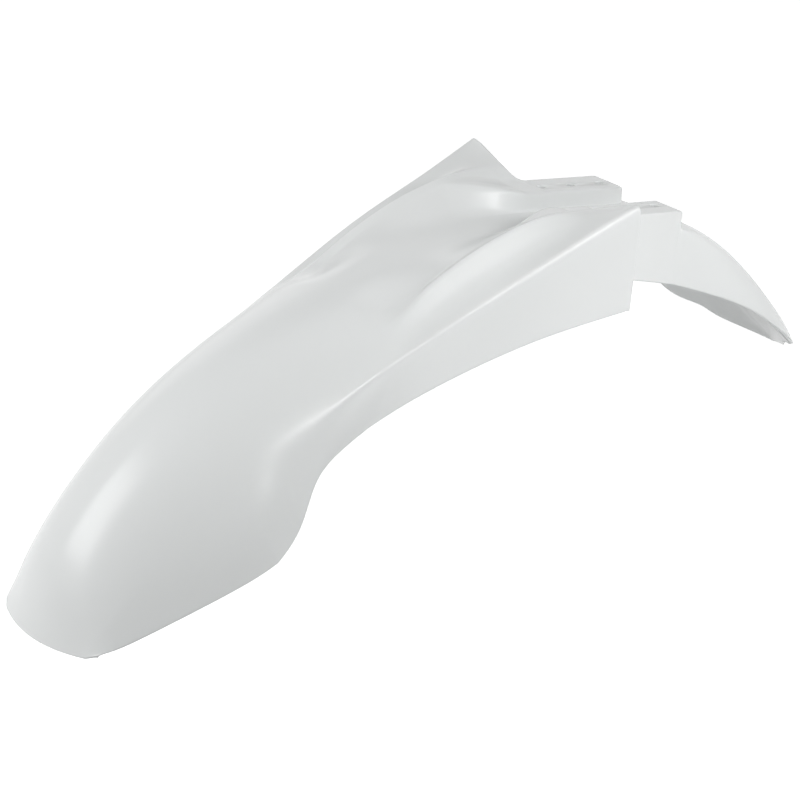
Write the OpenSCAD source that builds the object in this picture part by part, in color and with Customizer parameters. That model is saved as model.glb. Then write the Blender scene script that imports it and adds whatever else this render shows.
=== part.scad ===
// Motocross front mudguard, moulded in one piece from polypropylene.
// The origin is the centre of the bolt pattern, on the flat tops of the two mounting rails.
// X runs back to the tail, Y to the side and Z up. The nose points to -X.

/* [Shell] */
// Wall thickness of the moulding
wall = 2.8; // [2:0.1:3.5]
// Distance of the nose lip ahead of the bolt centre
nose_reach = 462; // [420:1:500]
// Drop of the nose lip below the rail tops
nose_drop = 273; // [240:1:300]
// Distance of the tail tip behind the bolt centre
tail_reach = 248; // [230:1:270]
// Drop of the tail tip below the rail tops
tail_drop = 131; // [120:1:145]

/* [Front] */
// Width across the corners of the nose lip
nose_w = 96; // [80:1:110]
// Width across the flared skirts behind the nose
skirt_w = 180; // [165:1:200]
// Width between the creases at the waist, where they fade out
waist_w = 130; // [120:1:140]
// Sideways bulge of the flanks, where the skirts are widest
flank_bulge = 4; // [0:0.5:8]

/* [Wings and side panels] */
// Width across the wing tips
wing_w = 168; // [158:1:178]
// Height of the wing tips above the rail tops
wing_rise = 23; // [16:1:28]
// Distance of the wing tips ahead of the bolt centre
wing_ahead = 53; // [50:1:58]
// Depth of the side panels below the rail tops, at their rear end
panel_drop = 57; // [52:1:64]
// Outward flare of the side panels from crease to hem, at the waist
panel_flare = 6; // [2:0.5:9]

/* [Mounting rails] */
// Width across the outer walls of the two rails
rail_span = 88; // [84:1:92]
// Distance that the rail tops reach behind the bolt centre
rail_back = 44; // [40:1:50]
// Width of the channel between the rails
channel_w = 28; // [22:1:32]
// Depth of the channel, and of the step down to the tail
channel_d = 13; // [10:1:16]
// Depth of the outer walls of the rails, at their rear end
rail_wall = 55; // [50:1:58]

/* [Ridges] */
// Width across the crests of the two ridges that carry on the rails towards the nose
ridge_span = 98; // [94:1:102]
// Height of the crests above the rail tops, at the wings
ridge_rise = 9.5; // [6:0.5:12]
// Distance ahead of the bolt centre at which the crests start to fall
ridge_ahead = 72; // [66:1:80]
// Radius of their fall
ridge_radius = 190; // [170:1:220]
// Depth of the scoop between each crest and the crease outside it
scoop_d = 8; // [4:0.5:10]

/* [Bolt holes] */
// Diameter of the bolt holes
hole_d = 6.5; // [5:0.1:9]
// Spacing of the two rows of holes
hole_gauge = 55; // [50:1:60]
// Spacing of the holes along a rail
hole_pitch = 31; // [26:0.5:34]

/* [Tail] */
// Width of the tail where it is widest, across its rear corners
tail_w = 128; // [118:1:136]
// Depth of the shallow groove along the tail
groove_d = 3; // [0:0.5:5]

/* [Hidden] */
$fn = 48;

front_rows = 34;
tail_rows = 17;
nose_half = nose_w / 2;
skirt_half = skirt_w / 2;
waist_half = waist_w / 2;
wing_half = wing_w / 2;
rail_half = rail_span / 2;
ridge_half = ridge_span / 2;
channel_half = channel_w / 2;
tail_half = tail_w / 2;
// Outward flare of the side panels at their rear end, and half width between the hems there
wing_flare = 2;
hem_half = wing_half + wing_flare;
// Draft of the channel walls and of the rail walls, from top to bottom
draft = 2;
// Distances ahead of the bolt centre: the rail tops come out of the ridges between the
// first two, and the rails stand clear of the wings at the last.
rails_start = 118;
rails_full = 58;
rails_clear = 34;
// Width of the rail tops' outer edge, which the foot of the wings runs along
rail_land = 4;
// Drop from the crests to the inner edge of the ridges
crest_lip = 3;
// Distance ahead of the bolt centre at which the bulge of the flanks ends, and how fast
tuck_start = 345;
tuck_run = 16;
// Length of the step down from the rail tops to the tail, and its height above the channel
step_run = 1.5;
step_rise = 1.5;
// Fall of the lower edge of the rail walls towards the tail
wall_slope = 0.14;
// Width of the rear edge of the wings and side panels
panel_edge = 2.5;

// Guide curves of the front, from the nose lip back to the wings.
// Crown line, as shares of the reach ahead of the wings and of the drop below the channel.
CROWN = [[1, 1], [0.998, 0.82], [0.92, 0.59], [0.79, 0.395], [0.655, 0.26],
         [0.54, 0.175], [0.41, 0.1], [0.26, 0.03], [0.12, 0], [-0.034, 0]];
// Crease line: share of the reach, share of the fall from the wing tips, and place
// in the list of half widths, where 0 is the nose, 1 the waist and 2 the wings.
CREASE = [[0.978, 0.99, -0.35], [0.945, 0.881, 0.03], [0.88, 0.769, 0.4], [0.775, 0.61, 0.74],
          [0.668, 0.512, 0.92], [0.563, 0.42, 1.03], [0.428, 0.304, 1.24], [0.265, 0.18, 1.68],
          [0.12, 0.085, 1.72], [0, 0, 2]];
// Hem line: share of the reach, share of the drop below the panels, and place
// in the list of half widths, where 0 is the nose, 1 the skirt, 2 the waist and 3 the wings.
HEM = [[0.968, 0.967, 0], [0.943, 0.944, 0.19], [0.89, 0.874, 0.45], [0.806, 0.777, 0.76],
       [0.715, 0.679, 1], [0.666, 0.572, 1.1], [0.64, 0.452, 1.6], [0.59, 0.38, 1.97],
       [0.472, 0.26, 2], [0.334, 0.144, 2.5], [0.197, 0.06, 2.85], [0.093, 0.02, 3],
       [-0.018, -0.01, 3]];

// Guide curves of the tail, from the rails back to the tip, as shares of the
// reach behind the rails, of the drop and of the half width.
TAIL_CROWN = [[0, 0], [0.14, 0.03], [0.31, 0.12], [0.47, 0.26], [0.62, 0.47], [0.75, 0.65],
              [0.87, 0.82], [0.95, 0.92], [1, 1]];
TAIL_HEM = [[0, 0.42, 0.72], [0.14, 0.467, 0.77], [0.285, 0.52, 0.84], [0.42, 0.585, 0.915],
            [0.535, 0.675, 0.985], [0.62, 0.755, 1.03], [0.69, 0.815, 1], [0.74, 0.85, 0.85],
            [0.79, 0.88, 0.65], [0.865, 0.92, 0.46]];

function mix(a, b, t) = a * (1 - t) + b * t;
// Rise from 0 to 1 between two places, straight or eased
function ramp(lo, hi, x) = min(max((x - lo) / (hi - lo), 0), 1);
function ease(lo, hi, x) = let (t = ramp(lo, hi, x)) t * t * (3 - 2 * t);
function unit(v) = v / max(norm(v), 1e-9);
// Value at place t in a list, straight between its entries
function pick(list, t) =
    let (i = min(max(floor(t), 0), len(list) - 2)) mix(list[i], list[i + 1], t - i);
// Cubic B-spline that starts at the first point of a list and ends at the last
function spline(pts, u) =
    let (n = len(pts) - 1, x = min(max(u, 0), 1) * n, i = min(floor(x), n - 1), f = x - i,
         a = i == 0 ? 2 * pts[0] - pts[1] : pts[i - 1],
         d = i == n - 1 ? 2 * pts[n] - pts[n - 1] : pts[i + 2])
    (pow(1 - f, 3) * a + (3 * pow(f, 3) - 6 * f * f + 4) * pts[i]
     + (3 * f + 3 * f * f - 3 * pow(f, 3) + 1) * pts[i + 1] + pow(f, 3) * d) / 6;

function ahead(share) = -wing_ahead - share * (nose_reach - wing_ahead);
// Even steps turned into steps that grow shorter towards the wings
function nearer(t) = t * (1.25 - 0.25 * t);

// Places of the five corners between crown and crease, as shares of the half width, how far
// each follows the crease forwards at the wings, and their rounding ahead of and at the rails.
SHARES = [0.2, 0.42, 0.6, 0.76, 0.89];
AT_WING = [0, 0, 0.1, 0.9, 1];
ROUND_FAR = [0.9, 0.8, 0.8, 0.4, 0.7];
ROUND_NEAR = [0.3, 0.3, 0.7, 0.4, 1];

// Each section is half a control outline: crown, channel corner, inner and outer edge of the
// rail top, crest, scoop, crease, panel and hem. Each entry is [point, rounding].
function front_section(u) =
    let (c = spline(CROWN, u), k = spline(CREASE, u), h = spline(HEM, u),
         crown = [ahead(c[0]), 0, -mix(channel_d, nose_drop, c[1])],
         crease = [ahead(k[0]), pick([nose_half, waist_half, wing_half], k[2]),
                   wing_rise - k[1] * (nose_drop + wing_rise)],
         hem = [ahead(h[0]), pick([nose_half, skirt_half, waist_half + panel_flare, hem_half], h[2]),
                -mix(panel_drop, nose_drop, h[1])],
         x = crown[0],
         ridge = ease(0.59, 0.7, u),
         end = ease(0.85, 1, u),
         gone = ramp(-rails_full, -rails_start, x),
         top_in = pow(gone, 1.5),
         top_up = pow(gone, 0.8),
         crest = [ridge_half * mix(1, crease[1] / wing_half, 0.3),
                  ridge_rise - pow(max(-ridge_ahead - x, 0), 2) / (2 * ridge_radius)],
         scoop = scoop_d * (1 - ease(-rails_start, -rails_full, x)),
         form = [[mix(channel_half, 0.42 * crest[0], top_in), crown[2]],
                 [mix(channel_half + draft, 0.86 * crest[0], top_in), top_up * (crest[1] - crest_lip)],
                 [mix(rail_half - rail_land, 0.93 * crest[0], top_in), top_up * (crest[1] - crest_lip / 2)],
                 crest,
                 mix(crest, [crease[1], crease[2]], 0.45) - [0, scoop]],
         power = mix(2, 2.3, ease(0.2, 0.5, u)),
         bulge = flank_bulge * ease(0.15, 0.36, u)
                 * (1 - ramp(-tuck_start, tuck_run - tuck_start, (crease[0] + hem[0]) / 2)))
    concat([[crown, 1]],
           [for (i = [0 : 4])
               let (f = SHARES[i], px = mix(x, crease[0], mix(f * f, AT_WING[i], end)),
                    arch = [f * crease[1], mix(crown[2], crease[2], pow(f, power))],
                    p = mix(arch, form[i], ridge))
               [[px, p[0], p[1]], mix(mix(1, ROUND_FAR[i], ridge), ROUND_NEAR[i], 1 - top_in)]],
           [[crease, mix(mix(0.5, 1, ease(0.05, 0.4, u)), mix(0.22, 0.5, end), ease(0.42, 0.58, u))],
            [mix(crease, hem, 0.5) + [0, bulge, 0], 1],
            [hem, 1]]);

// Section over the rails at a distance x, with the rail tops at height z
function rail_section(x, z) =
    let (foot = wall_slope * (rail_back - x) - rail_wall)
    concat([[[x, 0, -channel_d], 1],
            [[x, channel_half, -channel_d], 0.3],
            [[x, channel_half + draft, z], 0.3],
            [[x, rail_half - rail_land, z], 1]],
           [for (f = [0 : 0.25 : 1])
               [[x, rail_half + f * draft, mix(z, foot, f)], f == 0 ? 0.3 : 1]]);

// Form of the tail's sections, as shares from crown to hem: the foot of the step down,
// then a full arch, then an even fall to the tip.
STEP = rail_section(rail_back + step_run, step_rise - channel_d);
BOX = [for (s = STEP)
    [s[0][1] / STEP[8][0][1], (s[0][2] + channel_d) / (STEP[8][0][2] + channel_d)]];
ARCH = [[0, 0], [0.2, 0.02], [0.39, 0.08], [0.56, 0.18], [0.7, 0.32],
        [0.81, 0.48], [0.9, 0.66], [0.96, 0.84], [1, 1]];
EVEN = [for (i = [0 : 8]) [i / 8, pow(i / 8, 1.2)]];

function tail_section(u) =
    let (c = spline(TAIL_CROWN, u), h = spline(TAIL_HEM, u), start = rail_back + step_run,
         reach = tail_reach - start,
         crown = [start + c[0] * reach, 0, -mix(channel_d, tail_drop, c[1])],
         hem = [start + h[0] * reach, h[2] * tail_half, -h[1] * tail_drop],
         groove = groove_d * ease(0.1, 0.4, u) * (1 - ease(0.7, 0.95, u)),
         tip = ease(0.55, 1, u),
         side = mix(mix(BOX, ARCH, ease(-0.1, 0.4, u)), EVEN, tip))
    [for (i = [0 : 8])
        let (f = side[i][0], z = mix(crown[2], hem[2], side[i][1]) - (i == 0 ? groove : 0))
        [[mix(crown[0], hem[0], pow(f, mix(2, 1.2, tip))), f * hem[1], z], 1]];

// Wall that closes the shell round each fork leg, from the wing in to the rail. Its upper
// edge falls from the crest to the rail top.
function recess_section(share, wing, rail) =
    [for (i = [0 : 8])
        let (w = wing[i][0], r = rail[i][0])
        [i < 5 ? [mix(w[0], r[0], share), mix(w[1], r[1], share), mix(w[2], r[2], sqrt(share))]
               : w + [panel_edge, 0, 0],
         rail[i][1]]];

wing_end = front_section(1);
rail_start = rail_section(-rails_clear, 0);

SECTIONS = concat(
    [for (i = [0 : front_rows]) front_section(nearer(i / front_rows))],
    [recess_section(0.5, wing_end, rail_start), rail_start],
    [rail_section(rail_back, 0), rail_section(rail_back + step_run, step_rise - channel_d)],
    [for (i = [1 : tail_rows]) tail_section(i / tail_rows)]);

// Both halves of every section, from hem to hem
function flip(p) = [p[0], -p[1], p[2]];
LATTICE = [for (s = SECTIONS)
    concat([for (i = [8 : -1 : 1]) flip(s[i][0])], [for (p = s) p[0]])];
ROUNDING = [for (s = SECTIONS)
    concat([for (i = [8 : -1 : 1]) s[i][1]], [for (p = s) p[1]])];

rows = len(LATTICE);
cols = len(LATTICE[0]);

// Normals of the cells round a lattice point, pointing out of the shell
function cell_normal(i, j) =
    let (a = LATTICE[i][j], b = LATTICE[i][j + 1], c = LATTICE[i + 1][j + 1], d = LATTICE[i + 1][j])
    unit(cross(d - b, c - a));
CELLS = [for (i = [0 : rows - 2]) [for (j = [0 : cols - 2]) cell_normal(i, j)]];
function around(i, j) =
    [for (p = [max(i - 1, 0) : min(i, rows - 2)], q = [max(j - 1, 0) : min(j, cols - 2)]) CELLS[p][q]];

function total(list, i = 0) = i == len(list) - 1 ? list[i] : list[i] + total(list, i + 1);
// Point where the planes round a corner meet once each has moved in by the wall
function inset(normals) =
    let (slack = 0.02,
         rx = total([for (n = normals) n[0] * n]) + [slack, 0, 0],
         ry = total([for (n = normals) n[1] * n]) + [0, slack, 0],
         rz = total([for (n = normals) n[2] * n]) + [0, 0, slack],
         s = total(normals),
         det = rx * cross(ry, rz))
    -wall / det * (s[0] * cross(ry, rz) + s[1] * cross(rz, rx) + s[2] * cross(rx, ry));
INNER = [for (i = [0 : rows - 1]) [for (j = [0 : cols - 1]) LATTICE[i][j] + inset(around(i, j))]];

// Turns a control outline into a curve, with a parabola of 3 points at each corner
function curve(pts, rounds) =
    let (n = len(pts),
         mids = [pts[0], for (i = [1 : n - 3]) (pts[i] + pts[i + 1]) / 2, pts[n - 1]])
    concat([pts[0]],
           [for (i = [1 : n - 2])
               let (p = pts[i], a = mix(p, mids[i - 1], rounds[i]), b = mix(p, mids[i], rounds[i]),
                    e = ease(0.6, 1, rounds[i]) / 6)
               for (t = [e, 0.5, 1 - e])
               (1 - t) * (1 - t) * a + 2 * t * (1 - t) * p + t * t * b],
           [pts[n - 1]]);

// Skin on each side of the wall, then the strips that join them round the edge
module shell() {
    outer = [for (i = [0 : rows - 1]) each curve(LATTICE[i], ROUNDING[i])];
    inner = [for (i = [0 : rows - 1]) each curve(INNER[i], ROUNDING[i])];
    m = len(outer) / rows;
    n = len(outer);
    skins = [for (i = [0 : rows - 2], j = [0 : m - 2])
        let (a = i * m + j, b = a + 1, c = b + m, d = a + m)
        each [[a, c, d], [a, b, c], [a + n, d + n, c + n], [a + n, c + n, b + n]]];
    sides = [for (i = [0 : rows - 2])
        let (a = i * m, b = a + m, c = a + m - 1, d = b + m - 1)
        each [[a, b + n, a + n], [a, b, b + n], [c, d + n, d], [c, c + n, d + n]]];
    last = (rows - 1) * m;
    ends = [for (j = [0 : m - 2])
        let (a = j, b = j + 1, c = last + j, d = last + j + 1)
        each [[a, b + n, b], [a, a + n, b + n], [c, d, d + n], [c, d + n, c + n]]];
    polyhedron(concat(outer, inner), concat(skins, sides, ends), convexity = 10);
}

module bolt_holes() {
    for (x = [-1, 0, 1], y = [-1, 1])
        translate([x * hole_pitch, y * hole_gauge / 2, -channel_d])
            cylinder(h = 2 * channel_d, d = hole_d);
}

module mudguard() {
    color("whitesmoke")
    difference() {
        shell();
        bolt_holes();
    }
}

mudguard();
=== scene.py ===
import math

import bpy
import bmesh
import numpy as np
from mathutils import Matrix, Vector


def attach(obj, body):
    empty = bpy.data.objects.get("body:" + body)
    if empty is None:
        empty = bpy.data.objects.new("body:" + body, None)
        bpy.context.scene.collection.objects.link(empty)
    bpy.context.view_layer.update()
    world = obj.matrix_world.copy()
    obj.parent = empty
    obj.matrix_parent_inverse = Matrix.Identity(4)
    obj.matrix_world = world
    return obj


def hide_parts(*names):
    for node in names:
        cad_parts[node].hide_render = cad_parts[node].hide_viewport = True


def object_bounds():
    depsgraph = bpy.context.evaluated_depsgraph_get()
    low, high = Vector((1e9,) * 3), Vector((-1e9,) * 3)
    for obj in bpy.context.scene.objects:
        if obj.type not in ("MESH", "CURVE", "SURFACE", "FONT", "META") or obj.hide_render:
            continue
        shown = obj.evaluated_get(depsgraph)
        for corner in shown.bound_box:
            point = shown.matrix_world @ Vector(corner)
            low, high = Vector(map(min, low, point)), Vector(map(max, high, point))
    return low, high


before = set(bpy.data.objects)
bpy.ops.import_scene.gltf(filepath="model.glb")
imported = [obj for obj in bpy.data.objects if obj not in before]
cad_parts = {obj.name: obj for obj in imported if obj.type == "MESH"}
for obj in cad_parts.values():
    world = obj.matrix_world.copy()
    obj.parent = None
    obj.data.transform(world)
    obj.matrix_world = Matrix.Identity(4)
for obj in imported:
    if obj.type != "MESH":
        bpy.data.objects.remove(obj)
cad_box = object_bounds()

# ---------------------------------------------------------------------------
# Sizes in millimetres, the same as in the part's source. The origin is the
# centre of the bolt pattern, on the rail tops, and the nose points to -x.
# ---------------------------------------------------------------------------
MM = 0.001
WALL = 2.8
NOSE_REACH, NOSE_DROP = 462, 273
TAIL_REACH, TAIL_DROP = 248, 131
NOSE_W, SKIRT_W, WAIST_W, TAIL_W = 96, 180, 130, 128
FLANK_BULGE, GROOVE_D = 4, 3
WING_W, WING_RISE, WING_AHEAD, WING_FLARE = 168, 23, 53, 2
PANEL_DROP, PANEL_FLARE = 57, 6
RAIL_SPAN, RAIL_BACK, RAIL_WALL = 88, 44, 55
CHANNEL_W, CHANNEL_D = 28, 13
RIDGE_SPAN, RIDGE_RISE, RIDGE_AHEAD, RIDGE_RADIUS = 98, 9.5, 72, 190
SCOOP_D, CREST_LIP = 8, 3
HOLE_D, HOLE_GAUGE, HOLE_PITCH = 6.5, 55, 31
DRAFT = 2
# The rail tops come out of the ridges between the first two distances ahead of
# the bolt centre, and the rails stand clear of the wings at the last
RAILS_START, RAILS_FULL, RAILS_CLEAR = 118, 58, 34
# Where the bulge of the flanks ends, and over what length
TUCK_START, TUCK_RUN = 345, 16
STEP_RUN, STEP_RISE = 1.5, 1.5
# Fall of the rail walls' lower edge, rear edge of the panels, outer edge of the rail tops
WALL_SLOPE, PANEL_EDGE, RAIL_LAND = 0.14, 2.5, 4

NOSE_HALF, SKIRT_HALF, WAIST_HALF, TAIL_HALF = NOSE_W / 2, SKIRT_W / 2, WAIST_W / 2, TAIL_W / 2
WING_HALF, RAIL_HALF = WING_W / 2, RAIL_SPAN / 2
CHANNEL_HALF, RIDGE_HALF = CHANNEL_W / 2, RIDGE_SPAN / 2

# ---------------------------------------------------------------------------
# Guide curves, as shares of the reaches, drops and half widths above
# ---------------------------------------------------------------------------
# Crown line: share of the reach ahead of the wings, and of the drop below the channel
CROWN = [[1, 1], [0.998, 0.82], [0.92, 0.59], [0.79, 0.395], [0.655, 0.26],
         [0.54, 0.175], [0.41, 0.1], [0.26, 0.03], [0.12, 0], [-0.034, 0]]
# Crease line: share of the reach, of the fall from the wing tips, and place in the
# list of half widths, where 0 is the nose, 1 the waist and 2 the wings
CREASE = [[0.978, 0.99, -0.35], [0.945, 0.881, 0.03], [0.88, 0.769, 0.4],
          [0.775, 0.61, 0.74], [0.668, 0.512, 0.92], [0.563, 0.42, 1.03],
          [0.428, 0.304, 1.24], [0.265, 0.18, 1.68], [0.12, 0.085, 1.72], [0, 0, 2]]
CREASE_HALVES = [NOSE_HALF, WAIST_HALF, WING_HALF]
# Hem line: share of the reach, of the drop below the panels, and place in the list
# of half widths, where 0 is the nose, 1 the skirt, 2 the waist and 3 the wings
HEM = [[0.968, 0.967, 0], [0.943, 0.944, 0.19], [0.89, 0.874, 0.45], [0.806, 0.777, 0.76],
       [0.715, 0.679, 1], [0.666, 0.572, 1.1], [0.64, 0.452, 1.6], [0.59, 0.38, 1.97],
       [0.472, 0.26, 2], [0.334, 0.144, 2.5], [0.197, 0.06, 2.85], [0.093, 0.02, 3],
       [-0.018, -0.01, 3]]
HEM_HALVES = [NOSE_HALF, SKIRT_HALF, WAIST_HALF + PANEL_FLARE, WING_HALF + WING_FLARE]
# The tail, from the rails back to the tip
TAIL_CROWN = [[0, 0], [0.14, 0.03], [0.31, 0.12], [0.47, 0.26], [0.62, 0.47],
              [0.75, 0.65], [0.87, 0.82], [0.95, 0.92], [1, 1]]
TAIL_HEM = [[0, 0.42, 0.72], [0.14, 0.467, 0.77], [0.285, 0.52, 0.84], [0.42, 0.585, 0.915],
            [0.535, 0.675, 0.985], [0.62, 0.755, 1.03], [0.69, 0.815, 1], [0.74, 0.85, 0.85],
            [0.79, 0.88, 0.65], [0.865, 0.92, 0.46]]

# ---------------------------------------------------------------------------
# Form of the sections of the front
# ---------------------------------------------------------------------------
# Five corners between crown and crease: place as a share of the half width, how far
# each follows the crease forwards at the wings, rounding ahead of the rails and at them
SHARES = [0.2, 0.42, 0.6, 0.76, 0.89]
AT_WING = [0, 0, 0.1, 0.9, 1]
ROUND_FAR = [0.9, 0.8, 0.8, 0.4, 0.7]
ROUND_NEAR = [0.3, 0.3, 0.7, 0.4, 1]
# Stretches over which forms come in, as shares of the way from the lip to the wings
BULGE_IN, BOXY_IN, RIDGE_IN, WING_IN = (0.15, 0.36), (0.2, 0.5), (0.59, 0.7), (0.85, 1)
SKIRT_SOFTENS, CREASE_SHARPENS = (0.05, 0.4), (0.42, 0.58)
# Rounding of the crease at the lip, the skirt, the waist and the wings. At the waist it
# is about 1 mm wider than in the source, so that it carries a thin line of light.
ROUND_LIP, ROUND_SKIRT, ROUND_WAIST, ROUND_WING = 0.5, 1, 0.42, 0.5
# How full the arch is, as the power of its fall: at the nose and behind it
NOSE_POWER, CROWN_POWER = 2, 2.3
# Ridge: half widths of its foot and of the crest's inner and outer edges as shares of
# the crest's, how far the crest narrows with the crease, place of the scoop
FOOT, INNER_EDGE, OUTER_EDGE = 0.42, 0.86, 0.93
CREST_FOLLOWS, SCOOP_PLACE = 0.3, 0.45
# Powers by which the rail tops narrow and sink into the ridges ahead of them
NARROWS, SINKS = 1.5, 0.8
# Rounding of the crisp corners of the rails and of the channel
CRISP = 0.3

# ---------------------------------------------------------------------------
# Form of the sections of the tail, as shares from crown to hem
# ---------------------------------------------------------------------------
ARCH = np.array([[0, 0], [0.2, 0.02], [0.39, 0.08], [0.56, 0.18], [0.7, 0.32],
                 [0.81, 0.48], [0.9, 0.66], [0.96, 0.84], [1, 1]])
EVEN = np.array([[i / 8, (i / 8) ** 1.2] for i in range(9)])
# Stretches over which the arch, the groove and the tip come in and the groove goes out
ARCH_IN, GROOVE_IN, GROOVE_OUT, TIP_IN = (-0.1, 0.4), (0.1, 0.4), (0.7, 0.95), (0.55, 1)
# How far the sections sweep back from crown to hem, as a power: at the rails, at the tip
SWEEP_RAILS, SWEEP_TIP = 2, 1.2

# ---------------------------------------------------------------------------
# Fineness of the mesh and of its edges
# ---------------------------------------------------------------------------
FRONT_ROWS = 220
TAIL_ROWS = 90
CORNER_POINTS = 8
# Corners between the groups of sections: place behind the last row of the front, and
# reach of the rounding there, from the foot of the step forwards to the wings' rear edge
ROW_CORNERS = ((4, 3), (3, 1.2), (2, 4), (1, 2), (0, 1.2))
ROW_POINTS = 5
# Rounded rim: its depth as a share of the wall, and the points round it
RIM = 0.45 * WALL
RIM_ANGLES = np.linspace(0, math.pi, 7)[1:-1]
END_ANGLES = (0, math.pi / 8, math.pi / 4, 3 * math.pi / 8, math.pi / 2)
# Keeps the inner skin steady where the planes round a corner lie flat
SLACK = 0.02
# Bolt holes: height above the rail top and growth of the radius, from top to bottom
HOLE_PROFILE = ((4, 2.5), (0.02, 0.55), (-0.25, 0.18), (-0.6, 0),
                (-2.3, 0), (-2.6, 0.15), (-2.85, 0.45), (-6, 2))
HOLE_POINTS = 64
SHARP_ANGLE = math.radians(38)


def mix(a, b, t):
    return np.asarray(a, float) * (1 - t) + np.asarray(b, float) * t


def ramp(lo, hi, x):
    """Straight rise from 0 to 1 between two places."""
    return min(max((x - lo) / (hi - lo), 0.0), 1.0)


def ease(lo, hi, x):
    """Smooth rise from 0 to 1 between two places."""
    t = ramp(lo, hi, x)
    return t * t * (3 - 2 * t)


def pick(values, t):
    """Value at place t in a list, straight between its entries."""
    i = min(max(int(math.floor(t)), 0), len(values) - 2)
    return float(mix(values[i], values[i + 1], t - i))


def spline(pts, u):
    """Cubic B-spline that starts at the first point of a list and ends at the last."""
    p = np.asarray(pts, float)
    n = len(p) - 1
    x = min(max(u, 0.0), 1.0) * n
    i = min(int(math.floor(x)), n - 1)
    f = x - i
    a = 2 * p[0] - p[1] if i == 0 else p[i - 1]
    d = 2 * p[n] - p[n - 1] if i == n - 1 else p[i + 2]
    return ((1 - f) ** 3 * a + (3 * f ** 3 - 6 * f * f + 4) * p[i]
            + (3 * f + 3 * f * f - 3 * f ** 3 + 1) * p[i + 1] + f ** 3 * d) / 6


def unit(vectors):
    return vectors / np.maximum(np.linalg.norm(vectors, axis=-1, keepdims=True), 1e-9)


def ahead(share):
    """Place ahead of the wings, by its share of the reach to the lip."""
    return -WING_AHEAD - share * (NOSE_REACH - WING_AHEAD)


# Each section is half a control outline of nine points from crown to hem, and the
# rounding of each corner, from 0, sharp, to 1, fully round.

def ridge_form(x, crown, crease):
    """The five corners between crown and crease where ridges and rails stand."""
    gone = ramp(-RAILS_FULL, -RAILS_START, x)
    width, height = 1 - gone ** NARROWS, 1 - gone ** SINKS
    crest = RIDGE_HALF * float(mix(1, crease[1] / WING_HALF, CREST_FOLLOWS))
    crest_z = RIDGE_RISE - max(-RIDGE_AHEAD - x, 0) ** 2 / (2 * RIDGE_RADIUS)
    scoop = SCOOP_D * (1 - ease(-RAILS_START, -RAILS_FULL, x))
    form = [[mix(FOOT * crest, CHANNEL_HALF, width), crown[2]],
            [mix(INNER_EDGE * crest, CHANNEL_HALF + DRAFT, width),
             mix(crest_z - CREST_LIP, 0, height)],
            [mix(OUTER_EDGE * crest, RAIL_HALF - RAIL_LAND, width),
             mix(crest_z - CREST_LIP / 2, 0, height)],
            [crest, crest_z],
            [mix(crest, crease[1], SCOOP_PLACE), mix(crest_z, crease[2], SCOOP_PLACE) - scoop]]
    return form, width


def crease_rounding(u, wing):
    front = mix(ROUND_LIP, ROUND_SKIRT, ease(*SKIRT_SOFTENS, u))
    rear = mix(ROUND_WAIST, ROUND_WING, wing)
    return float(mix(front, rear, ease(*CREASE_SHARPENS, u)))


def front_section(u):
    """Section at a share of the way from the nose lip back to the wings."""
    c, k, h = spline(CROWN, u), spline(CREASE, u), spline(HEM, u)
    crown = np.array([ahead(c[0]), 0, -mix(CHANNEL_D, NOSE_DROP, c[1])])
    crease = np.array([ahead(k[0]), pick(CREASE_HALVES, k[2]),
                       WING_RISE - k[1] * (NOSE_DROP + WING_RISE)])
    hem = np.array([ahead(h[0]), pick(HEM_HALVES, h[2]), -mix(PANEL_DROP, NOSE_DROP, h[1])])
    ridge, wing = ease(*RIDGE_IN, u), ease(*WING_IN, u)
    power = float(mix(NOSE_POWER, CROWN_POWER, ease(*BOXY_IN, u)))
    form, width = ridge_form(crown[0], crown, crease)
    points, rounds = [crown], [1.0]
    for i, f in enumerate(SHARES):
        px = float(mix(crown[0], crease[0], mix(f * f, AT_WING[i], wing)))
        arch = np.array([px, f * crease[1], float(mix(crown[2], crease[2], f ** power))])
        risen = np.array([px, float(form[i][0]), float(form[i][1])])
        points.append(mix(arch, risen, ridge))
        rounds.append(float(mix(mix(1, ROUND_FAR[i], ridge), ROUND_NEAR[i], width)))
    tuck = ramp(-TUCK_START, TUCK_RUN - TUCK_START, (crease[0] + hem[0]) / 2)
    bulge = FLANK_BULGE * ease(*BULGE_IN, u) * (1 - tuck)
    points += [crease, mix(crease, hem, 0.5) + np.array([0, bulge, 0]), hem]
    rounds += [crease_rounding(u, wing), 1.0, 1.0]
    return np.array(points), np.array(rounds)


def rail_section(x, z):
    """Section over the rails at a place x, with the rail tops at height z."""
    foot = WALL_SLOPE * (RAIL_BACK - x) - RAIL_WALL
    points = [[x, 0, -CHANNEL_D], [x, CHANNEL_HALF, -CHANNEL_D],
              [x, CHANNEL_HALF + DRAFT, z], [x, RAIL_HALF - RAIL_LAND, z]]
    rounds = [1, CRISP, CRISP, 1]
    for f in (0, 0.25, 0.5, 0.75, 1):
        points.append([x, RAIL_HALF + f * DRAFT, float(mix(z, foot, f))])
        rounds.append(CRISP if f == 0 else 1)
    return np.array(points, float), np.array(rounds, float)


def step_section():
    """Foot of the step down from the rails, where the tail starts."""
    return rail_section(RAIL_BACK + STEP_RUN, STEP_RISE - CHANNEL_D)


def box_form():
    """Form of the step's foot, as shares from crown to hem."""
    foot = step_section()[0]
    return np.array([[p[1] / foot[8][1], (p[2] - foot[0][2]) / (foot[8][2] - foot[0][2])]
                     for p in foot])


BOX = box_form()


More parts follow.
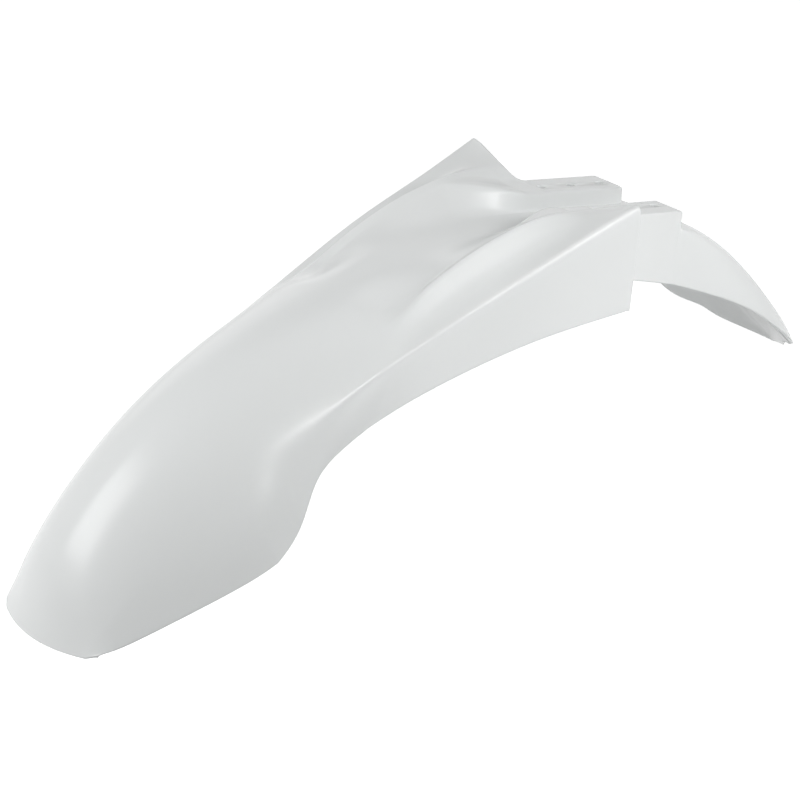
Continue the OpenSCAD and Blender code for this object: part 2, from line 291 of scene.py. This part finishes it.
def tail_section(u):
    """Section at a share of the way from the rails back to the tip."""
    c, h = spline(TAIL_CROWN, u), spline(TAIL_HEM, u)
    start = RAIL_BACK + STEP_RUN
    reach = TAIL_REACH - start
    crown = np.array([start + c[0] * reach, 0, -float(mix(CHANNEL_D, TAIL_DROP, c[1]))])
    hem = np.array([start + h[0] * reach, h[2] * TAIL_HALF, -h[1] * TAIL_DROP])
    groove = GROOVE_D * ease(*GROOVE_IN, u) * (1 - ease(*GROOVE_OUT, u))
    tip = ease(*TIP_IN, u)
    sweep = float(mix(SWEEP_RAILS, SWEEP_TIP, tip))
    side = mix(mix(BOX, ARCH, ease(*ARCH_IN, u)), EVEN, tip)
    points = []
    for i, (f, fall) in enumerate(side):
        z = float(mix(crown[2], hem[2], fall)) - (groove if i == 0 else 0)
        points.append([float(mix(crown[0], hem[0], f ** sweep)), f * hem[1], z])
    return np.array(points), np.ones(9)


def recess_section(share, wing, rail):
    """Wall that closes the shell round each fork leg, from the wing in to the rail."""
    points = wing[0].copy()
    points[:5, 1] = mix(wing[0][:5, 1], rail[0][:5, 1], share)
    points[:5, 2] = mix(wing[0][:5, 2], rail[0][:5, 2], math.sqrt(share))
    points[:5, 0] = mix(wing[0][:5, 0], rail[0][:5, 0], share)
    points[5:, 0] += PANEL_EDGE
    return points, rail[1].copy()


def both_halves(section):
    points, rounds = section
    other = points[:0:-1] * np.array([1, -1, 1])
    return np.vstack([other, points]), np.concatenate([rounds[:0:-1], rounds])


def all_sections():
    """Sections from the nose lip to the tail's tip."""
    wings, rails = front_section(1), rail_section(-RAILS_CLEAR, 0)
    front = [front_section(i / FRONT_ROWS) for i in range(FRONT_ROWS + 1)]
    middle = [recess_section(0.5, wings, rails), rails, rail_section(RAIL_BACK, 0), step_section()]
    tail = [tail_section(i / TAIL_ROWS) for i in range(1, TAIL_ROWS + 1)]
    halves = [both_halves(s) for s in front + middle + tail]
    return np.array([h[0] for h in halves]), np.array([h[1] for h in halves])


def inset(lattice):
    """Lattice moved in by the wall: each corner goes where the planes round it then meet."""
    a, b = lattice[:-1, :-1], lattice[:-1, 1:]
    d, c = lattice[1:, :-1], lattice[1:, 1:]
    normal = unit(np.cross(d - b, c - a))
    rows, cols = lattice.shape[:2]
    planes = np.einsum("ijk,ijl->ijkl", normal, normal)
    m = np.zeros((rows, cols, 3, 3)) + SLACK * np.eye(3)
    s = np.zeros((rows, cols, 3))
    for di in (0, 1):
        for dj in (0, 1):
            m[di:rows - 1 + di, dj:cols - 1 + dj] += planes
            s[di:rows - 1 + di, dj:cols - 1 + dj] += normal
    return lattice - WALL * np.linalg.solve(m, s[..., None])[..., 0]


def round_row(lattice, rounds, k, reach):
    """Replaces row k of a lattice by rows on a parabola that rounds the corner there."""
    p = lattice[k]

    def cut(neighbour):
        length = np.maximum(np.linalg.norm(neighbour - p, axis=1), 1e-6)
        return p + (neighbour - p) * np.minimum(reach / length, 0.49)[:, None]

    a, b = cut(lattice[k - 1]), cut(lattice[k + 1])
    new = np.array([(1 - t) ** 2 * a + 2 * t * (1 - t) * p + t * t * b
                    for t in np.linspace(0, 1, ROW_POINTS)])
    again = np.repeat(rounds[k:k + 1], ROW_POINTS, 0)
    return (np.concatenate([lattice[:k], new, lattice[k + 1:]]),
            np.concatenate([rounds[:k], again, rounds[k + 1:]]))


def curve(pts, rounds):
    """Control outline turned into a curve, with a parabola at each corner."""
    n = len(pts)
    mids = [pts[0]] + [(pts[i] + pts[i + 1]) / 2 for i in range(1, n - 2)] + [pts[n - 1]]
    out = [pts[0]]
    for i in range(1, n - 1):
        a = mix(pts[i], mids[i - 1], rounds[i])
        b = mix(pts[i], mids[i], rounds[i])
        # Fully round corners meet at the middles, where neither repeats the other's point
        e = ease(0.6, 1, rounds[i]) / (2 * CORNER_POINTS)
        for t in np.linspace(e, 1 - e, CORNER_POINTS):
            out.append((1 - t) ** 2 * a + 2 * t * (1 - t) * pts[i] + t * t * b)
    out.append(pts[n - 1])
    return np.array(out)


def two_skins():
    """Outer and inner skin of the wall, as rows of points from the nose lip to the tail."""
    lattice, rounds = all_sections()
    inner = inset(lattice)
    # From the back, so that the numbers of the rows ahead stay right
    for place, reach in ROW_CORNERS:
        k = FRONT_ROWS + place
        inner, _ = round_row(inner, rounds, k, reach)
        lattice, rounds = round_row(lattice, rounds, k, reach)
    return (np.array([curve(row, r) for row, r in zip(lattice, rounds)]),
            np.array([curve(row, r) for row, r in zip(inner, rounds)]))


def round_side(outer, inner, last, behind):
    """Points of the rounded rim along one side, and the way it faces."""
    middle = (outer[:, last] + inner[:, last]) / 2
    run = unit(middle - (outer[:, behind] + inner[:, behind]) / 2)
    centre, half = middle - run * RIM, (outer[:, last] - inner[:, last]) / 2
    return [centre + half * math.cos(a) + run * RIM * math.sin(a) for a in RIM_ANGLES], run


def round_end(ring, mid, first, second):
    """Rows of the rounded rim across the nose lip or the tail's end."""
    run = unit(mid[first] - mid[second])
    base, centre = ring[first] - run * RIM, mid[first] - run * RIM
    return [centre + (base - centre) * math.cos(a) + run * RIM * math.sin(a) for a in END_ANGLES]


def wall_grid():
    """Closed rings of points round the wall, from the nose lip to the tail."""
    outer, inner = two_skins()
    left, run_left = round_side(outer, inner, 0, 2)
    right, run_right = round_side(outer, inner, -1, -3)
    # The last points of each skin move back to make room for the rim
    for skin in (outer, inner):
        skin[:, 0] -= run_left * RIM
        skin[:, -1] -= run_right * RIM
    ring = np.concatenate([outer, np.stack(right, 1), inner[:, ::-1], np.stack(left[::-1], 1)], 1)
    # Point of the middle of the wall that belongs to each point of a ring
    middle, k = (outer + inner) / 2, len(RIM_ANGLES)
    mid = np.concatenate([middle, np.repeat(middle[:, -1:], k, 1),
                          middle[:, ::-1], np.repeat(middle[:, :1], k, 1)], 1)
    lip, tip = round_end(ring, mid, 0, 1), round_end(ring, mid, len(ring) - 1, len(ring) - 2)
    return np.array(lip[::-1] + list(ring[1:-1]) + tip)


def build_shell():
    """Mesh of the moulding, in metres and inside the CAD model's box."""
    grid = wall_grid()
    rows, count = grid.shape[:2]
    verts = np.clip(grid.reshape(-1, 3) * MM, np.array(cad_box[0]), np.array(cad_box[1]))
    faces = []
    for i in range(rows - 1):
        for j in range(count):
            a, b = i * count + j, i * count + (j + 1) % count
            faces.append((a, b, b + count, a + count))
    mesh = bpy.data.meshes.new("mudguard_shell")
    mesh.from_pydata([tuple(v) for v in verts], [], faces)
    bm = bmesh.new()
    bm.from_mesh(mesh)
    bmesh.ops.remove_doubles(bm, verts=bm.verts, dist=1e-6)
    bmesh.ops.recalc_face_normals(bm, faces=bm.faces)
    bm.to_mesh(mesh)
    bm.free()
    return mesh


def add_drill(bm, x, y):
    """Turned cutter of one bolt hole, with flared ends that soften the rims."""
    rings = []
    for z, grow in HOLE_PROFILE:
        radius = (HOLE_D / 2) * MM + grow * MM
        rings.append([bm.verts.new((x + radius * math.cos(t), y + radius * math.sin(t), z * MM))
                      for t in [2 * math.pi * q / HOLE_POINTS for q in range(HOLE_POINTS)]])
    for a, b in zip(rings, rings[1:]):
        for q in range(HOLE_POINTS):
            r = (q + 1) % HOLE_POINTS
            bm.faces.new((a[q], a[r], b[r], b[q]))
    bm.faces.new(rings[0])
    bm.faces.new(rings[-1][::-1])


def drill(shell):
    """Cuts the six bolt holes through the rail tops."""
    bm = bmesh.new()
    for along in (-1, 0, 1):
        for side in (-1, 1):
            add_drill(bm, along * HOLE_PITCH * MM, side * HOLE_GAUGE / 2 * MM)
    bmesh.ops.recalc_face_normals(bm, faces=bm.faces)
    mesh = bpy.data.meshes.new("drill")
    bm.to_mesh(mesh)
    bm.free()
    cutter = bpy.data.objects.new("drill", mesh)
    bpy.context.collection.objects.link(cutter)
    cut = shell.modifiers.new("holes", "BOOLEAN")
    cut.operation, cut.solver, cut.object = "DIFFERENCE", "EXACT", cutter
    bpy.context.view_layer.update()
    evaluated = shell.evaluated_get(bpy.context.evaluated_depsgraph_get())
    drilled = bpy.data.meshes.new_from_object(evaluated)
    shell.modifiers.clear()
    shell.data = drilled
    bpy.data.objects.remove(cutter)


def smooth_all(mesh):
    """Smooth shading, with sharp edges only where two faces meet at a wide angle."""
    bm = bmesh.new()
    bm.from_mesh(mesh)
    for f in bm.faces:
        f.smooth = True
    for e in bm.edges:
        e.smooth = len(e.link_faces) != 2 or e.calc_face_angle(0) < SHARP_ANGLE
    bm.to_mesh(mesh)
    bm.free()


# ---------------------------------------------------------------------------
# Materials
# ---------------------------------------------------------------------------
# Off-white polypropylene: two tints that drift into each other, roughness between two
# values and a faint grain, with the scales of the drift and of the grain
TINTS = (0.798, 0.812, 0.810, 1), (0.818, 0.829, 0.826, 1)
PLASTIC_IOR, ROUGHNESS = 1.49, (0.22, 0.29)
DRIFT_SCALE, GRAIN_SCALE, NOISE_DETAIL = 6, 900, 3
GRAIN_STRENGTH, GRAIN_DEPTH = 0.08, 0.0002
FLOOR_COLOUR = (0.82, 0.82, 0.82, 1)
FLOOR_WHITE = 0.84


def new_tree(owner):
    owner.use_nodes = True
    owner.node_tree.nodes.clear()
    return owner.node_tree


def add(tree, kind, place, inputs=None, **settings):
    """New node at a place in the tree, with its settings and the values of its inputs."""
    node = tree.nodes.new(kind)
    node.location = place
    for key, value in settings.items():
        setattr(node, key, value)
    for key, value in (inputs or {}).items():
        node.inputs[key].default_value = value
    return node


def white_plastic():
    """Moulded polypropylene with a satin face and a grain too fine to see from afar."""
    mat = bpy.data.materials.new("white_plastic")
    tree = new_tree(mat)
    out = add(tree, "ShaderNodeOutputMaterial", (600, 0))
    bsdf = add(tree, "ShaderNodeBsdfPrincipled", (300, 0),
               {"IOR": PLASTIC_IOR, "Coat Weight": 0.0})
    tree.links.new(bsdf.outputs[0], out.inputs[0])
    where = add(tree, "ShaderNodeTexCoord", (-900, 0))
    drift = add(tree, "ShaderNodeTexNoise", (-650, 200),
                {"Scale": DRIFT_SCALE, "Detail": NOISE_DETAIL})
    grain = add(tree, "ShaderNodeTexNoise", (-650, -100),
                {"Scale": GRAIN_SCALE, "Detail": NOISE_DETAIL})
    for noise in (drift, grain):
        tree.links.new(where.outputs["Object"], noise.inputs["Vector"])
    tint = add(tree, "ShaderNodeMix", (-350, 200), {"A": TINTS[0], "B": TINTS[1]},
               data_type="RGBA")
    tree.links.new(drift.outputs["Fac"], tint.inputs["Factor"])
    tree.links.new(tint.outputs["Result"], bsdf.inputs["Base Color"])
    rough = add(tree, "ShaderNodeMapRange", (-350, -50),
                {"To Min": ROUGHNESS[0], "To Max": ROUGHNESS[1]})
    tree.links.new(grain.outputs["Fac"], rough.inputs["Value"])
    tree.links.new(rough.outputs[0], bsdf.inputs["Roughness"])
    bump = add(tree, "ShaderNodeBump", (0, -250),
               {"Strength": GRAIN_STRENGTH, "Distance": GRAIN_DEPTH})
    tree.links.new(grain.outputs["Fac"], bump.inputs["Height"])
    tree.links.new(bump.outputs[0], bsdf.inputs["Normal"])
    return mat


def seen(tree):
    """One for the rays that see a background: from the camera, in gloss or through glass."""
    path = add(tree, "ShaderNodeLightPath", (-900, 300))
    first = add(tree, "ShaderNodeMath", (-700, 300), operation="MAXIMUM")
    second = add(tree, "ShaderNodeMath", (-500, 300), operation="MAXIMUM")
    tree.links.new(path.outputs["Is Camera Ray"], first.inputs[0])
    tree.links.new(path.outputs["Is Glossy Ray"], first.inputs[1])
    tree.links.new(first.outputs[0], second.inputs[0])
    tree.links.new(path.outputs["Is Transmission Ray"], second.inputs[1])
    return second.outputs[0]


def pale_paper():
    """Pale floor that keeps the shadow and is lifted to white where it is seen."""
    mat = bpy.data.materials.new("paper")
    tree = new_tree(mat)
    out = add(tree, "ShaderNodeOutputMaterial", (500, 0))
    both = add(tree, "ShaderNodeAddShader", (300, 0))
    matt = add(tree, "ShaderNodeBsdfPrincipled", (0, 0),
               {"Base Color": FLOOR_COLOUR, "Roughness": 1.0, "Specular IOR Level": 0.0})
    lift = add(tree, "ShaderNodeEmission", (0, 300))
    level = add(tree, "ShaderNodeMath", (-200, 300), {1: FLOOR_WHITE}, operation="MULTIPLY")
    tree.links.new(seen(tree), level.inputs[0])
    tree.links.new(level.outputs[0], lift.inputs["Strength"])
    tree.links.new(matt.outputs[0], both.inputs[0])
    tree.links.new(lift.outputs[0], both.inputs[1])
    tree.links.new(both.outputs[0], out.inputs[0])
    return mat


# ---------------------------------------------------------------------------
# The moulded shell, the one piece of the part
# ---------------------------------------------------------------------------
shell = bpy.data.objects.new("mudguard_body", build_shell())
bpy.context.collection.objects.link(shell)
drill(shell)
smooth_all(shell.data)
shell.data.materials.clear()
shell.data.materials.append(white_plastic())
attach(shell, "root")
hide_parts("mudguard")

# ---------------------------------------------------------------------------
# Camera, floor and light
# ---------------------------------------------------------------------------
# Camera's heading and height and the part's own pitch in the photograph, in degrees
HEADING, HEIGHT, PITCH = -42.70, 27.80, 13.77
# Focal length and place of the part's origin, in pixels of the photograph's frame
FOCAL_PX, ORIGIN_PX, FRAME_PX = 3000.0, (598.11, 196.01), 800
DISTANCE, SENSOR, FAR_CLIP = 2.1554, 36.0, 30
FLOOR_Z, FLOOR_HALF = -0.42, 9
ROOM_COLOUR, ROOM_LIGHT = (0.97, 1.0, 1.0, 1), 0.2
# Points that the lamps face: the whole part, its wings and its tail
MIDDLE, WINGS, TAIL = (-0.1, 0, -0.08), (-0.01, 0, -0.06), (0.16, 0, -0.08)
# Name, point it faces, direction from there, distance, width and height, spread in
# degrees, power in watts. The side lamps' beams are narrow, so that the nose's flank
# stays in shade.
LAMPS = (("side_box", WINGS, (0.49, -0.85, 0.3), 1.1, (0.7, 0.7), 60, 0.14),
         ("panel_box", MIDDLE, (0.1, -0.98, -0.12), 1.0, (0.5, 0.4), 60, 0.33),
         ("wing_box", WINGS, (0.2, -0.6, 0.58), 0.86, (0.5, 0.5), 60, 0.16),
         ("crease_strip", WINGS, (0.08, -0.82, 0.57), 1.1, (0.9, 0.16), 60, 0.58),
         ("tail_box", TAIL, (-0.3, -0.9, -0.2), 1.0, (0.3, 0.25), 40, 0.03),
         ("nose_box", MIDDLE, (-1, 0.2, 0.38), 1.09, (0.6, 0.6), 180, 4.7),
         ("front_box", MIDDLE, (-0.98, 0, 0.21), 2.4, (1.4, 1.4), 180, 3.1),
         ("far_box", MIDDLE, (0.3, 0.9, 0.35), 2.4, (1.4, 1.4), 180, 3.2),
         ("top_box", MIDDLE, (0.2, 0.05, 1), 2.4, (1.6, 1.6), 180, 4.2))


def camera_axes():
    """Right, up and back of the camera, from its heading, height and the part's pitch."""
    a, e, t = math.radians(HEADING), math.radians(HEIGHT), math.radians(PITCH)
    right = Vector((math.cos(a), math.sin(a), 0))
    back = Vector((math.sin(a) * math.cos(e), -math.cos(a) * math.cos(e), math.sin(e)))
    up = back.cross(right)
    pitched = Matrix(((math.cos(t), 0, math.sin(t)), (0, 1, 0), (-math.sin(t), 0, math.cos(t))))
    return [pitched.transposed() @ v for v in (right, up, back)]


def place_camera():
    right, up, back = camera_axes()
    aim_x = (ORIGIN_PX[0] - FRAME_PX / 2) / FOCAL_PX * DISTANCE
    aim_y = (FRAME_PX / 2 - ORIGIN_PX[1]) / FOCAL_PX * DISTANCE
    camera = bpy.data.objects.new("camera", bpy.data.cameras.new("camera"))
    camera.data.sensor_width = SENSOR
    camera.data.lens = FOCAL_PX * SENSOR / FRAME_PX
    camera.data.clip_end = FAR_CLIP
    stand = Matrix.Translation(-right * aim_x - up * aim_y + back * DISTANCE)
    camera.matrix_world = stand @ Matrix((right, up, back)).transposed().to_4x4()
    bpy.context.collection.objects.link(camera)
    bpy.context.scene.camera = camera


def lay_floor():
    mesh = bpy.data.meshes.new("floor")
    corners = [(FLOOR_HALF * x, FLOOR_HALF * y, FLOOR_Z)
               for x, y in ((-1, -1), (1, -1), (1, 1), (-1, 1))]
    mesh.from_pydata(corners, [], [(0, 1, 2, 3)])
    mesh.materials.append(pale_paper())
    floor = bpy.data.objects.new("floor", mesh)
    bpy.context.collection.objects.link(floor)


def light_room():
    """Dim even light from all round, behind a background that is seen as white."""
    world = bpy.data.worlds.new("studio")
    bpy.context.scene.world = world
    tree = new_tree(world)
    out = add(tree, "ShaderNodeOutputWorld", (500, 0))
    choose = add(tree, "ShaderNodeMixShader", (300, 0))
    room = add(tree, "ShaderNodeBackground", (0, 0),
               {"Color": ROOM_COLOUR, "Strength": ROOM_LIGHT})
    white = add(tree, "ShaderNodeBackground", (0, -200),
                {"Color": (1, 1, 1, 1), "Strength": 1.0})
    tree.links.new(seen(tree), choose.inputs[0])
    tree.links.new(room.outputs[0], choose.inputs[1])
    tree.links.new(white.outputs[0], choose.inputs[2])
    tree.links.new(choose.outputs[0], out.inputs[0])


def hang_lamp(name, aim, toward, distance, size, spread, power):
    """Soft box in the given direction from a point, facing it."""
    light = bpy.data.lights.new(name, "AREA")
    light.shape = "RECTANGLE"
    light.size, light.size_y = size
    light.spread = math.radians(spread)
    light.energy = power
    lamp = bpy.data.objects.new(name, light)
    d = Vector(toward).normalized()
    turn = d.to_track_quat("Z", "Y").to_matrix().to_4x4()
    lamp.matrix_world = Matrix.Translation(Vector(aim) + d * distance) @ turn
    bpy.context.collection.objects.link(lamp)


place_camera()
lay_floor()
light_room()
for lamp in LAMPS:
    hang_lamp(*lamp)

bpy.context.scene.view_settings.view_transform = "Standard"
